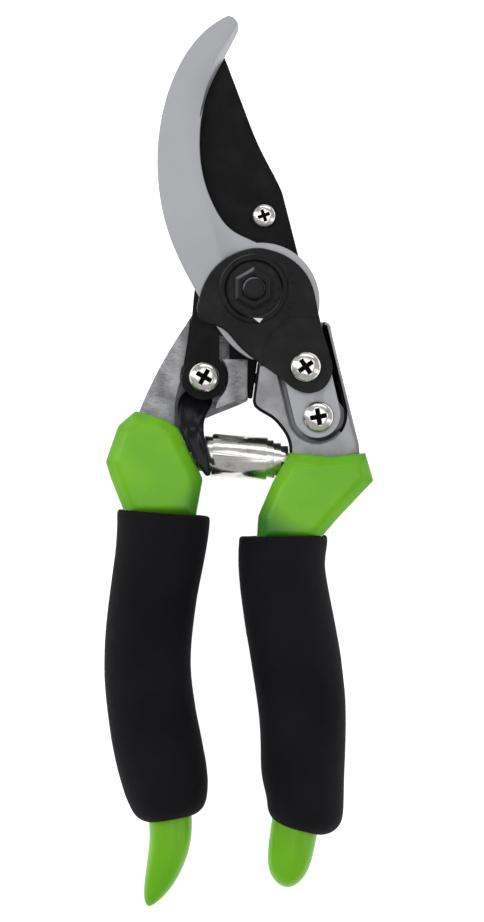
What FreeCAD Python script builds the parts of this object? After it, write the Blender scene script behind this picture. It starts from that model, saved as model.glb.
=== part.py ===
import FreeCAD, Part
import math
import os

# Bypass pruner, closed, lying on its back.
# Origin: on the main pivot axis, in the plane that the tool rests on.
# +Z is the pivot axis and points away from the table, +Y points to the jaw tip, +X to the hook side handle.

# ---- stack heights along the pivot, in millimetres ----
BOLT_HEAD_H = 3.2
BOLT_HEAD_AF = 13.0
HEAD_RECESS = 1.0            # how deep the bolt head sits in the left casting
HUB_T = 6.5
CATCH_T = 2.4
BLADE_T = 3.0
HOOK_T = 4.0
PLATE_T = 2.0
WASHER_T = 0.6
NUT_H = 3.6
BOLT_PROUD = 1.0             # bolt end beyond the nut
BOLT_CHAMFER = 0.4
SLIDE_GAP = 0.05             # between faces that slide on each other

# ---- pivots and fasteners ----
HUB_R = 12.5
BLADE_HUB_R = 13.6
HOOK_HUB = (1.7, -2.9)
HOOK_HUB_R = 14.2
HUB_FLAT_X = -0.8            # left of this the hook's outline leaves its round hub
SHANK_R = 4.0
THREAD_R = 2.7
BUSH_WALL = 1.5
NUT_AF = 8.8
RUN_FIT = 0.05               # radial running clearance on every pivot
SCREW_FIT = 0.05
CATCH_AT = (-12.1, -21.2)
CATCH_BOSS_R = 3.4
CATCH_EYE_R = 4.6
LOBE_R = 5.6                 # round end of the blade's tang
LOBE_GAP = 0.3
LOBE_DIAG = math.sqrt(0.5)
TANG_X = -8.4                # inner side of the blade's tang
BLADE_SCREW_AT = (2.4, 18.0)
PLATE_SCREW_AT = (12.5, -18.8)
TANG_SCREW_AT = (15.6, -30.9)
SCREW_HEAD_R = 3.8
SCREW_HEAD_H = 2.4
SCREW_SHANK_R = 2.0
BLADE_SCREW_HEAD_R = 2.9
BLADE_SCREW_HEAD_H = 1.6
BLADE_SCREW_SHANK_R = 1.7
CROSS_W = 1.1                # slot width of the cross recess
BLADE_TIP = (-8.4, 59.4)
SPINE_AT = 0.655             # angle, in radians, at which the blade's spine meets its hub
EDGE_GRIND_W = 2.4           # ground slope on the back of the blade's cutting edge
EDGE_GRIND_H = 1.2
GRIND_DEPTH = 3.0            # how far down the slope near the hook's tip reaches
EDGE_R = 0.4                 # rounded front edges of stamped and cast pieces
HOOK_EDGE_R = 0.2

# ---- castings, coats and grips ----
RIGHT_BACK_Z = 5.7
HANDLE_MID_Z = 11.5
BULGE_T = 15.6
BULGE_BEVEL = 3.0
COAT_T = 1.2
GRIP_HALF_T = 11.4
GRIP_END_R = 2.5
GRIP_FULL_W = 10.0           # half width from which a grip has its full thickness
CLEAR = 0.5                  # between castings that pass each other
PRESS_DEPTH = 0.5            # pressed relief of the lock plate
PRESS_RING_R = (6.6, 8.2)
TICK_TURNS = (-36, -28, -20, 8, 22)
TICK_FROM = 9.0
TICK_L = 1.5
TICK_W = 0.6
TANG_GAP = 0.9               # slot of shade round the hook's tang
TANG_HALF_W = 5.75
RIB_PROUD = 1.0
WING_T = 5.0                 # raised wall of the left casting beside the blade's tang
BUMPER_T = 2.2
BUMPER_GAP = 0.1
BUMPER_Y = (-26.4, -14.2)    # lower and upper end of the bumper's leg
STOP_TOP_Y = -16.9           # corner of the left casting that the bumper is set on
STOP_X = -1.5
STOP_FOOT = (-0.3, -27.0)    # edge of the right casting that closes against the bumper
STOP_HEAD = (0.9, -17.6)

# ---- catch nose and the tooth it takes hold of ----
TOOTH_R = 17.6
TOOTH_ROOT_R = 15.2
TOOTH_X = (-2.6, 0.0)
NOSE_X = 1.0                 # near side of the nose's hook, released
NOSE_W = 2.0
NOSE_TOP_Y = -18.1
NOSE_BAR_Y = (-20.2, -22.7)
CATCH_SWING = 9.0            # degrees from released to locked
TAB_T = 1.8

# ---- spring ----
SPRING_FROM = (-15.4, -39.7)
SPRING_TO = (8.4, -41.5)
SPRING_Z = 10.7
SPRING_R = 5.2
SPRING_STEPS = 3
STEP_R = 0.6
STEP_L = 1.8
SPRING_BORE_R = 2.3
PIN_R = 1.8
PIN_L = 6.0
PIN_SET = 3.0                # how deep a pin is set in its casting

# ---- worked out from the sizes above ----
HUB_Z = BOLT_HEAD_H - HEAD_RECESS
BLADE_Z = HUB_Z + HUB_T
CATCH_Z = BLADE_Z - CATCH_T - 2 * SLIDE_GAP
CATCH_TOP_Z = BLADE_Z - SLIDE_GAP
HOOK_Z = BLADE_Z + BLADE_T + SLIDE_GAP
PLATE_Z = HOOK_Z + HOOK_T
WASHER_Z = PLATE_Z + PLATE_T + SLIDE_GAP
NUT_Z = WASHER_Z + WASHER_T
BOLT_END_Z = NUT_Z + NUT_H + BOLT_PROUD
BUSH_R = SHANK_R + BUSH_WALL
HUB_FLAT_Y = HOOK_HUB[1] - math.sqrt(HOOK_HUB_R ** 2 - (HOOK_HUB[0] - HUB_FLAT_X) ** 2)
TANG_ROOT = (TANG_X, -math.sqrt(BLADE_HUB_R ** 2 - TANG_X ** 2))
SPINE_END = (BLADE_HUB_R * math.cos(SPINE_AT), BLADE_HUB_R * math.sin(SPINE_AT))
ROOM_TOP_Z = CATCH_TOP_Z + 0.3   # top of the room that the catch's nose and the tooth move in
WING_Z = CATCH_Z + WING_T
ABOVE = 40.0                 # reach of a cutting tool that runs out of the part

# One entry per station of a limb: place along Y, centre in X, half width in X, half thickness in Z.
LEFT_LIMB = [
    (-48.0, -23.0, 8.6, 6.6), (-60.0, -22.4, 7.0, 6.6), (-90.0, -25.9, 6.4, 6.4),
    (-118.0, -21.8, 5.9, 5.8), (-130.0, -19.8, 5.3, 5.1), (-137.0, -20.7, 5.0, 4.6),
    (-143.0, -22.6, 4.0, 3.8), (-147.5, -24.4, 2.6, 2.5), (-149.6, -25.4, 0.8, 0.9),
]
RIGHT_LIMB = [
    (-50.0, 11.5, 8.6, 6.6), (-62.0, 7.6, 6.9, 6.6), (-75.0, 7.4, 6.5, 6.4),
    (-100.0, 11.3, 6.4, 6.2), (-122.0, 11.2, 6.0, 5.8), (-131.0, 9.8, 5.9, 5.4),
    (-138.0, 8.7, 5.7, 5.0), (-142.5, 8.2, 4.3, 3.8), (-145.2, 8.2, 1.2, 1.2),
]
LEFT_GRIP = [
    (-54.0, -21.9, 11.4), (-64.0, -22.7, 10.9), (-78.0, -25.1, 10.6), (-91.0, -25.9, 10.55),
    (-105.0, -24.5, 10.8), (-118.0, -21.8, 10.6), (-128.8, -20.6, 8.6),
]
RIGHT_GRIP = [
    (-59.8, 7.1, 10.8), (-68.0, 6.6, 10.4), (-80.0, 8.4, 10.8), (-94.0, 11.0, 10.7),
    (-108.0, 12.0, 10.4), (-121.0, 11.4, 10.2), (-132.4, 11.6, 8.4),
]
LEFT_BULGE = [
    (-28.7, -29.8), (-32.6, -33.5), (-35.6, -41.8), (-34.2, -46.4), (-30.6, -55.5),
    (-14.4, -55.5), (-12.8, -46.2), (-18.6, -34.6), (-20.5, -32.0),
]
RIGHT_BULGE = [
    (8.9, -39.8), (18.5, -40.9), (26.8, -39.9), (28.7, -46.4), (20.2, -55.3),
    (15.0, -61.5), (1.2, -61.5), (3.4, -49.1),
]


def vec(point, z=0.0):
    return FreeCAD.Vector(point[0], point[1], z)


def outline(start, *legs):
    """Closed flat outline. A leg of one point is a straight line, of two an arc through the first
    to the second, and of more a smooth curve through them all."""
    edges = []
    here = start
    for leg in legs:
        points = [vec(here)] + [vec(p) for p in leg]
        if len(points) == 2:
            edges.append(Part.makeLine(*points))
        elif len(points) == 3:
            edges.append(Part.Arc(*points).toShape())
        else:
            curve = Part.BSplineCurve()
            curve.interpolate(points)
            edges.append(curve.toShape())
        here = leg[-1]
    if vec(here).distanceToPoint(vec(start)) > 1e-6:
        edges.append(Part.makeLine(vec(here), vec(start)))
    return Part.Wire(edges)


def polygon(points):
    return outline(points[0], *[[p] for p in points[1:]])


def plate(wire, z0, z1):
    """Solid between two heights with the given outline."""
    face = Part.Face(wire)
    face.translate(FreeCAD.Vector(0, 0, z0))
    return face.extrude(FreeCAD.Vector(0, 0, z1 - z0))


def disc(radius, z0, z1, at=(0.0, 0.0)):
    return Part.makeCylinder(radius, z1 - z0, vec(at, z0))


def box(x0, x1, y0, y1, z0, z1):
    return Part.makeBox(x1 - x0, y1 - y0, z1 - z0, FreeCAD.Vector(x0, y0, z0))


def hexagon(across_flats, z0, z1, at=(0.0, 0.0), turn=0.0):
    corner = across_flats / math.sqrt(3)
    points = [(at[0] + corner * math.cos(math.radians(turn + 60 * i)),
               at[1] + corner * math.sin(math.radians(turn + 60 * i))) for i in range(6)]
    return plate(polygon(points), z0, z1)


def slot(a, b, half_width, z0, z1):
    """Bar with round ends centred on the points a and b."""
    run = vec(b) - vec(a)
    side = FreeCAD.Vector(-run.y, run.x, 0).normalize() * half_width
    tip = FreeCAD.Vector(run).normalize() * half_width
    p = [vec(a) + side, vec(b) + side, vec(b) - side, vec(a) - side]
    wire = Part.Wire([
        Part.makeLine(p[0], p[1]),
        Part.Arc(p[1], vec(b) + tip, p[2]).toShape(),
        Part.makeLine(p[2], p[3]),
        Part.Arc(p[3], vec(a) - tip, p[0]).toShape(),
    ])
    return plate(wire, z0, z1)


def edges_at(shape, z, longer_than=0.0):
    """Edges of the shape that lie in the plane of the given height."""
    return [e for e in shape.Edges
            if abs(e.BoundBox.ZMin - z) < 1e-4 and abs(e.BoundBox.ZMax - z) < 1e-4
            and e.Length > longer_than]


def section(y, x, half_w, half_t):
    """Softly squared round section across Y, about the middle height of the handles."""
    power = 2 / 2.25
    halves = []
    for side in (1, -1):
        points = []
        for i in range(13):
            c, s = math.cos(math.pi * i / 12) * side, math.sin(math.pi * i / 12) * side
            points.append(FreeCAD.Vector(x + half_w * math.copysign(abs(c) ** power, c), y,
                                         HANDLE_MID_Z + half_t * math.copysign(abs(s) ** power, s)))
        up = FreeCAD.Vector(0, 0, side)
        curve = Part.BSplineCurve()
        curve.interpolate(Points=points, InitialTangent=up, FinalTangent=up * -1)
        halves.append(curve.toShape())
    return Part.Wire(halves)


def loft(sections):
    """Smooth solid through the sections, of degree 3 so that it doesn't sway between them."""
    return Part.makeLoft(sections, True, False, False, 3)


def limb(stations, inset=0.0):
    """Bar that runs down the handle, thinner all round by the inset."""
    kept = [s for s in stations if min(s[2], s[3]) - inset > 0.5]
    return loft([section(y, x, w - inset, t - inset) for y, x, w, t in kept])


def bulge(points, inset=0.0):
    """Faceted shoulder at the top of a handle, smaller all round by the inset."""
    wire = polygon(points)
    if inset:
        wire = wire.makeOffset2D(-inset)
    low = HANDLE_MID_Z - BULGE_T / 2 + inset
    high = HANDLE_MID_Z + BULGE_T / 2 - inset
    body = plate(wire, low, high)
    bevel = BULGE_BEVEL - inset
    return body.makeChamfer(bevel, edges_at(body, low) + edges_at(body, high))


def cross_recess(reach, depth, top, at, turn):
    """Cross-shaped hollow of a screw head, narrower at its floor."""
    arms = []
    for angle in (turn, turn + 90):
        arm = plate(polygon([(-reach, -CROSS_W / 2), (reach, -CROSS_W / 2),
                             (reach, CROSS_W / 2), (-reach, CROSS_W / 2)]), top - depth, top + 1)
        arm.rotate(FreeCAD.Vector(), FreeCAD.Vector(0, 0, 1), angle)
        arms.append(arm)
    cross = arms[0].fuse(arms[1])
    cross.translate(vec(at))
    return cross


def pan_screw(at, seat, foot, head_r, head_h, shank_r, turn):
    """Pan head screw: seat is the height that its head sits on, foot the height of its end."""
    head = disc(head_r, seat, seat + head_h, at)
    head = head.makeFillet(head_h * 0.45, edges_at(head, seat + head_h))
    screw = head.fuse(disc(shank_r, foot, seat, at))
    return screw.cut(cross_recess(head_r * 0.62, head_h * 0.7, seat + head_h, at, turn))


def bored(shape, *holes):
    """The shape with through holes, each given as a place and a radius."""
    for at, radius in holes:
        shape = shape.cut(disc(radius, -ABOVE, ABOVE, at))
    return shape


# ---- cutting blade, fixed to the left handle ----

def cutting_blade():
    wire = outline(
        BLADE_TIP,
        [(-5.1, 51.2), (-1.9, 42.6), (1.6, 34.1), (5.2, 27.2), (6.9, 23.6)],
        [SPINE_END],
        [(BLADE_HUB_R * math.cos(-0.4), BLADE_HUB_R * math.sin(-0.4)), TANG_ROOT],
        [(TANG_ROOT[0], -17.0)],
        [(CATCH_AT[0] + LOBE_R, CATCH_AT[1]), (CATCH_AT[0], CATCH_AT[1] - LOBE_R)],
        [(CATCH_AT[0] - LOBE_R * LOBE_DIAG, CATCH_AT[1] - LOBE_R * LOBE_DIAG), (-17.5, -22.4)],
        [(-16.1, -14.1), (-15.0, -6.0), (-14.3, 0.6), (-12.6, 8.0), (-14.2, 18.0), (-17.2, 30.0),
         (-15.6, 45.0), BLADE_TIP],
    )
    body = plate(wire, BLADE_Z, BLADE_Z + BLADE_T)
    cutting_edge = max(edges_at(body, BLADE_Z), key=lambda e: e.Length)
    body = body.makeChamfer(EDGE_GRIND_H, EDGE_GRIND_W, [cutting_edge])
    return bored(body, ((0, 0), BUSH_R + SCREW_FIT), (CATCH_AT, SCREW_SHANK_R + SCREW_FIT),
                 (BLADE_SCREW_AT, BLADE_SCREW_SHANK_R + SCREW_FIT))


# ---- hook jaw, fixed to the right handle ----

def hook_shape(grow, z0, z1):
    """Hub and tang of the hook jaw, larger all round by the given amount."""
    hub = disc(HOOK_HUB_R + grow, z0, z1, HOOK_HUB).common(box(HUB_FLAT_X, ABOVE, -ABOVE, ABOVE, z0, z1))
    tang = slot((8.7, -2.4), (15.3, -30.3), TANG_HALF_W + grow, z0, z1)
    return hub.fuse(tang)


def hook_jaw():
    """Modelled with its back at height 0, so that its shape is the same wherever the stack puts it."""
    crescent = outline(
        (-6.3, 66.3),
        [(-13.5, 61.0), (-19.1, 52.2), (-22.6, 40.6), (-23.4, 30.4), (-20.9, 14.3), (-14.6, 0.5),
         (-10.9, -6.0), (-6.2, -12.8), (HUB_FLAT_X, HUB_FLAT_Y)],
        [(2.4, 10.4)],
        [(-1.6, 12.3), (-5.3, 14.3), (-9.7, 20.2), (-12.6, 28.9), (-13.1, 37.7), (-11.6, 46.8),
         (-7.9, 55.0), (-4.1, 62.2)],
        [(-4.3, 65.2), (-6.3, 66.3)],
    )
    body = plate(crescent, 0.0, HOOK_T).fuse(hook_shape(0.0, 0.0, HOOK_T))
    body = body.removeSplitter()
    # near the tip the shearing edge is ground to a slope, between a line on the front face and a lower one
    front_line = outline(
        (-3.9, 64.8),
        [(-7.2, 59.2), (-9.5, 55.2), (-11.1, 50.7), (-12.3, 46.2), (-13.2, 42.0)],
        [(10.0, 42.0)],
        [(10.0, 64.8)],
    )
    low_line = outline(
        (-2.9, 62.6),
        [(-5.2, 59.2), (-7.7, 55.2), (-9.7, 50.7), (-11.6, 46.2), (-13.0, 42.0)],
        [(10.0, 42.0)],
        [(10.0, 62.6)],
    )
    front_line.translate(FreeCAD.Vector(0, 0, HOOK_T + 0.1))
    low_line.translate(FreeCAD.Vector(0, 0, HOOK_T - GRIND_DEPTH))
    body = body.makeFillet(HOOK_EDGE_R, edges_at(body, HOOK_T))
    body = body.cut(Part.makeLoft([front_line, low_line], True, True))
    body = bored(body, ((0, 0), BUSH_R + RUN_FIT), (PLATE_SCREW_AT, SCREW_SHANK_R + SCREW_FIT),
                 (TANG_SCREW_AT, SCREW_SHANK_R + SCREW_FIT))
    body.translate(FreeCAD.Vector(0, 0, HOOK_Z))
    return body


def lock_plate():
    """Cover that holds the hook jaw and carries the tension marks."""
    wire = outline(
        (-1.7, 9.7),
        [(-5.1, 8.5), (-8.7, 6.1), (-11.4, 2.7), (-12.9, -0.7), (-13.7, -3.7)],
        [(-12.9, -7.2), (-10.4, -8.7)],
        [(-7.6, -9.6), (-3.8, -13.6), (-0.6, -16.5), (3.2, -19.2), (7.3, -22.1)],
        [(10.2, -24.4), (13.3, -25.2), (16.9, -23.9), (18.8, -20.7), (18.8, -17.3)],
        [(18.0, -14.6), (16.7, -10.3), (15.3, -4.3), (14.2, 0.5), (12.0, 4.5), (7.9, 7.9), (3.4, 9.6)],
        [(0.9, 10.0), (-1.7, 9.7)],
    )
    top = PLATE_Z + PLATE_T
    body = plate(wire, PLATE_Z, top)
    body = body.makeFillet(EDGE_R, edges_at(body, top))
    # pressed lower step that the strip to the plate screw starts from
    step = polygon([(3.9, -10.8), (8.2, -6.6), (22.0, -6.6), (22.0, -30.0), (3.9, -30.0), (1.9, -14.3)])
    body = body.cut(plate(step, top - PRESS_DEPTH, top + 1.0))
    # pressed ring round the nut
    ring = disc(PRESS_RING_R[1], top - PRESS_DEPTH, top + 1.0).cut(disc(PRESS_RING_R[0], top - 1.0, top + 2.0))
    body = body.cut(ring)
    for turn in TICK_TURNS:
        mark = box(TICK_FROM, TICK_FROM + TICK_L, -TICK_W / 2, TICK_W / 2, top - PRESS_DEPTH, top + 1.0)
        mark.rotate(FreeCAD.Vector(), FreeCAD.Vector(0, 0, 1), turn)
        body = body.cut(mark)
    return bored(body, ((0, 0), THREAD_R + RUN_FIT * 2), (PLATE_SCREW_AT, SCREW_SHANK_R + SCREW_FIT))


# ---- left casting ----

def left_handle_core():
    top = BLADE_Z
    hub = disc(HUB_R, HUB_Z, top)
    arm = slot((0, 0), BLADE_SCREW_AT, 4.2, HUB_Z, top)
    floor_wire = outline(
        (-11.0, 4.0),
        [(-13.9, -1.0), (-14.4, -4.7)],
        [(-16.6, -8.6)],
        [(-22.9, -18.9), (-28.4, -30.8)],
        [(-30.0, -44.0)],
        [(-14.4, -44.0)],
        [(-13.4, -36.0)],
        [(-11.9, -31.2)],
        [(-3.6, -27.9)],
        [(-1.6, -26.9)],
        [(STOP_X, -12.0)],
    )
    floor = plate(floor_wire, HUB_Z, CATCH_Z - SLIDE_GAP)
    wing_wire = outline(
        (-15.5, -6.8),
        [(-16.6, -8.6)],
        [(-22.9, -18.9), (-28.4, -30.8)],
        [(-28.8, -33.5)],
        [(-19.3, -33.5)],
        [(-19.3, -28.2)],
        [(-18.3, -23.4), (-17.8, -21.8)],
        [(-16.4, -14.1), (-15.6, -8.0)],
    )
    wing = plate(wing_wire, CATCH_Z - SLIDE_GAP, WING_Z)
    stop_wire = outline(
        (-7.6, STOP_TOP_Y),
        [(STOP_X, STOP_TOP_Y)],
        [(STOP_X, -26.7)],
        [(-3.3, -27.5)],
        [(-4.4, -27.0)],
        [(-9.4, -28.9)],
        [(-8.6, -26.6)],
        [(CATCH_AT[0] + LOBE_R + LOBE_GAP, CATCH_AT[1]), (-7.6, STOP_TOP_Y)],
    )
    stop = plate(stop_wire, CATCH_Z - SLIDE_GAP, WING_Z)
    rib = slot((-3.15, -18.6), (-3.15, -25.4), 1.45, WING_Z, WING_Z + RIB_PROUD)
    slot_cut = catch_sweep(CLEAR)
    boss = disc(CATCH_BOSS_R, CATCH_Z - SLIDE_GAP, top, CATCH_AT)
    core = hub.fuse([arm, floor, wing, stop, rib])
    core = core.cut(slot_cut).cut(tooth_sweep())
    core = core.fuse([boss, bulge(LEFT_BULGE, COAT_T), limb(LEFT_LIMB, COAT_T)])
    core = core.removeSplitter()
    core = core.cut(hexagon(BOLT_HEAD_AF + 2 * SCREW_FIT, -ABOVE, BOLT_HEAD_H))
    return bored(core, ((0, 0), SHANK_R + SCREW_FIT), (CATCH_AT, SCREW_SHANK_R + SCREW_FIT),
                 (BLADE_SCREW_AT, BLADE_SCREW_SHANK_R + SCREW_FIT))


def catch_outline_solid(z0, z1):
    """Nose and eye of the catch, without the thumb tab."""
    eye = disc(CATCH_EYE_R, z0, z1, CATCH_AT)
    bar = box(CATCH_AT[0], NOSE_X + NOSE_W, NOSE_BAR_Y[1], NOSE_BAR_Y[0], z0, z1)
    tip = box(NOSE_X, NOSE_X + NOSE_W, NOSE_BAR_Y[1], NOSE_TOP_Y, z0, z1)
    return eye.fuse([bar, tip])


def turned(shape, degrees, at=(0.0, 0.0)):
    copy = shape.copy()
    copy.rotate(vec(at), FreeCAD.Vector(0, 0, 1), degrees)
    return copy


def catch_sweep(gap):
    """Room that the catch's eye and nose need over their swing."""
    z0, z1 = CATCH_Z - SLIDE_GAP, ROOM_TOP_Z
    room = disc(CATCH_EYE_R + gap, z0, z1, CATCH_AT).fuse(disc(LOBE_R + LOBE_GAP, z0, ABOVE, CATCH_AT))
    solid = catch_outline_solid(z0, z1)
    bar = box(CATCH_AT[0], NOSE_X + NOSE_W + 6, NOSE_BAR_Y[1] - gap, NOSE_BAR_Y[0] + gap, z0, z1)
    steps = 4
    pieces = [turned(bar, CATCH_SWING * i / steps, CATCH_AT) for i in range(steps + 1)]
    return room.fuse([solid] + pieces)


def tooth_sweep():
    """Room in the left casting for the tooth of the right one."""
    ring = disc(TOOTH_R + CLEAR, CATCH_Z - SLIDE_GAP, ROOM_TOP_Z)
    ring = ring.cut(disc(HUB_R, -ABOVE, ABOVE))
    return ring.common(box(TOOTH_X[0] - 1.5, ABOVE, -ABOVE, 0.0, 0.0, ABOVE))


def thumb_catch():
    body = catch_outline_solid(CATCH_Z, CATCH_TOP_Z)
    # thumb tab: climbs from the plate in front of the spring and narrows to its tip
    tab_wire = outline(
        (-16.0, -22.8),
        [(-18.2, -25.4)],
        [(-18.7, -28.6), (-17.8, -33.0)],
        [(-16.1, -37.0), (-14.1, -41.0), (-12.3, -44.5)],
        [(-11.2, -45.4), (-10.3, -44.4)],
        [(-10.7, -41.0), (-11.5, -38.2), (-12.2, -35.0), (-12.3, -31.8), (-10.3, -28.6)],
        [(-10.3, -25.2)],
    )
    tab_top = SPRING_Z + SPRING_R + CLEAR + TAB_T
    tab = plate(tab_wire, CATCH_Z, tab_top)
    tab = tab.cut(disc(LOBE_R + CLEAR, CATCH_TOP_Z, ABOVE, CATCH_AT))
    # the back is open below the riser, so that only the sloping front skin is left
    hollow = Part.makePolygon([FreeCAD.Vector(0, y, z) for y, z in (
        (-29.4, CATCH_Z - 1), (-33.0, tab_top - TAB_T - 1.0), (-46.5, tab_top - TAB_T), (-46.5, CATCH_Z - 1),
        (-29.4, CATCH_Z - 1))])
    hollow = Part.Face(hollow).extrude(FreeCAD.Vector(30, 0, 0))
    hollow.translate(FreeCAD.Vector(-30, 0, 0))
    front = Part.makePolygon([FreeCAD.Vector(0, y, z) for y, z in (
        (-20.0, CATCH_TOP_Z + 1.0), (-27.4, CATCH_TOP_Z + 2.0), (-32.5, tab_top), (-20.0, tab_top + 5),
        (-20.0, CATCH_TOP_Z + 1.0))])
    front = Part.Face(front).extrude(FreeCAD.Vector(30, 0, 0))
    front.translate(FreeCAD.Vector(-30, 0, 0))
    body = body.fuse(tab.cut(hollow).cut(front))
    return bored(body, (CATCH_AT, CATCH_BOSS_R + RUN_FIT))


# ---- right casting ----

def right_handle_core():
    wire = outline(
        (13.0, -7.9),
        [(17.2, -7.9)],
        [(18.2, -8.4), (18.6, -9.6)],
        [(20.4, -17.3), (23.4, -29.4), (25.4, -37.5)],
        [(26.0, -45.0)],
        [(9.2, -45.0)],
        [(8.6, -39.0)],
        [(7.9, -35.7), (6.1, -33.0), (4.3, -31.2), (1.6, -29.6), (0.0, -28.2)],
        [STOP_FOOT],
        [STOP_HEAD],
        [(3.9, -14.0)],
        [(3.9, -11.0)],
    )
    front = HOOK_Z + HOOK_T
    body = plate(wire, RIGHT_BACK_Z, front)
    body = body.cut(disc(HUB_R + CLEAR, -ABOVE, CATCH_TOP_Z))
    body = body.cut(disc(BLADE_HUB_R + CLEAR, CATCH_TOP_Z, HOOK_Z))
    body = body.cut(box(-ABOVE, NOSE_X + NOSE_W + CLEAR, NOSE_BAR_Y[1] - CLEAR, 0.0, -ABOVE, ROOM_TOP_Z))
    body = body.cut(hook_shape(TANG_GAP, HOOK_Z, ABOVE))
    tooth_top = CATCH_TOP_Z
    arc = disc(TOOTH_ROOT_R, CATCH_Z, tooth_top).cut(disc(HUB_R + CLEAR, -ABOVE, ABOVE))
    arc = arc.common(box(TOOTH_X[0], 8.0, -ABOVE, 0.0, -ABOVE, ABOVE))
    tooth = disc(TOOTH_R, CATCH_Z, tooth_top).cut(disc(HUB_R + CLEAR, -ABOVE, ABOVE))
    tooth = tooth.common(box(TOOTH_X[0], TOOTH_X[1], -ABOVE, 0.0, -ABOVE, ABOVE))
    body = body.fuse([arc, tooth, bulge(RIGHT_BULGE, COAT_T), limb(RIGHT_LIMB, COAT_T)])
    body = body.removeSplitter()
    screw_bore = SCREW_SHANK_R + SCREW_FIT
    return bored(body, (PLATE_SCREW_AT, screw_bore), (TANG_SCREW_AT, screw_bore))


# ---- coats, grips and small pieces ----

def grip(stations, points, bar):
    """Foam sleeve with softly rounded ends, bored for the coated handle."""
    rounding = [(0.0, 0.7), (1.0, 0.0)]
    first, last = stations[0], stations[-1]
    head = [(first[0] - a * GRIP_END_R, first[1], first[2] - b * GRIP_END_R) for a, b in rounding]
    foot = [(last[0] + a * GRIP_END_R, last[1], last[2] - b * GRIP_END_R) for a, b in reversed(rounding)]
    sections = [section(y, x, w, GRIP_HALF_T * min(1.0, w / GRIP_FULL_W))
                for y, x, w in head + stations[1:-1] + foot]
    return loft(sections).cut(limb(bar)).cut(bulge(points))


def coat_outer(points, stations):
    return bulge(points).fuse(limb(stations)).removeSplitter()


def stop_bumper():
    """Black rubber cushion that the right casting closes against."""
    z0 = ROOM_TOP_Z + 2 * SLIDE_GAP
    z1 = z0 + BUMPER_T
    head = box(-6.0, STOP_X, STOP_TOP_Y, BLADE_HUB_R * -0.85, z0, z1)
    head = head.cut(disc(BLADE_HUB_R + 2 * SLIDE_GAP, z0 - 1, z1 + 1))
    foot_x, head_x = STOP_FOOT[0] - BUMPER_GAP, STOP_HEAD[0] - BUMPER_GAP
    leg = polygon([(STOP_X, BUMPER_Y[0]), (foot_x, BUMPER_Y[0]), (head_x, STOP_HEAD[1]),
                   (head_x, BUMPER_Y[1]), (STOP_X, BUMPER_Y[1])])
    leg = plate(leg, z0, z1).cut(disc(BLADE_HUB_R + 2 * SLIDE_GAP, z0 - 1, z1 + 1))
    return head.fuse(leg).removeSplitter()


def spring_frame():
    a, b = vec(SPRING_FROM, SPRING_Z), vec(SPRING_TO, SPRING_Z)
    return a, b, (b - a)


def volute_spring():
    """Wound ribbon spring as its closed outer form, stepped down towards both ends."""
    a, b, run = spring_frame()
    body = Part.makeCylinder(SPRING_R - SPRING_STEPS * STEP_R, run.Length, a, run)
    along = FreeCAD.Vector(run).normalize()
    for i in range(SPRING_STEPS):
        inset = STEP_L * (i + 1)
        body = body.fuse(Part.makeCylinder(SPRING_R - (SPRING_STEPS - 1 - i) * STEP_R, run.Length - 2 * inset,
                                           a + along * inset, run))
    return body.removeSplitter().cut(Part.makeCylinder(SPRING_BORE_R, run.Length + 2, a - along, run))


def spring_room():
    """Seat for the spring's ends, sunk in the coats and castings."""
    a, _, run = spring_frame()
    return Part.makeCylinder(SPRING_R + CLEAR, run.Length, a, run)


def spring_pin(end, inward):
    """Spigot that centres one end of the spring; inward points from the casting into the spring."""
    start = vec(end, SPRING_Z) - inward * PIN_SET
    return Part.makeCylinder(PIN_R, PIN_L, start, inward)


def pivot_bolt():
    shoulder_z = PLATE_Z - SLIDE_GAP
    bolt = hexagon(BOLT_HEAD_AF, 0.0, BOLT_HEAD_H).fuse(disc(SHANK_R, BOLT_HEAD_H, shoulder_z))
    bolt = bolt.fuse(disc(THREAD_R, shoulder_z, BOLT_END_Z)).removeSplitter()
    return bolt.makeChamfer(BOLT_CHAMFER, edges_at(bolt, BOLT_END_Z))


def pivot_bushing():
    sleeve = disc(BUSH_R, BLADE_Z, PLATE_Z - SLIDE_GAP)
    return sleeve.cut(disc(SHANK_R + SCREW_FIT, -ABOVE, ABOVE))


def tension_washer():
    """Toothed washer under the nut."""
    washer = disc(6.2, WASHER_Z, NUT_Z)
    for i in range(12):
        angle = math.tau * i / 12
        washer = washer.cut(disc(0.7, 0, ABOVE, (6.4 * math.cos(angle), 6.4 * math.sin(angle))))
    return washer.cut(disc(THREAD_R + SCREW_FIT, 0, ABOVE))


def pivot_nut():
    top = NUT_Z + NUT_H
    nut = hexagon(NUT_AF, NUT_Z, top, turn=90)
    cone = Part.makeCone(NUT_AF / 2 + 5.0, NUT_AF / 2 - 0.1, 3.0, FreeCAD.Vector(0, 0, top - 3.0))
    nut = nut.common(cone.fuse(disc(NUT_AF, NUT_Z - 1, top - 2.0)))
    return nut.cut(disc(THREAD_R + SCREW_FIT, 0, ABOVE))


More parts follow.
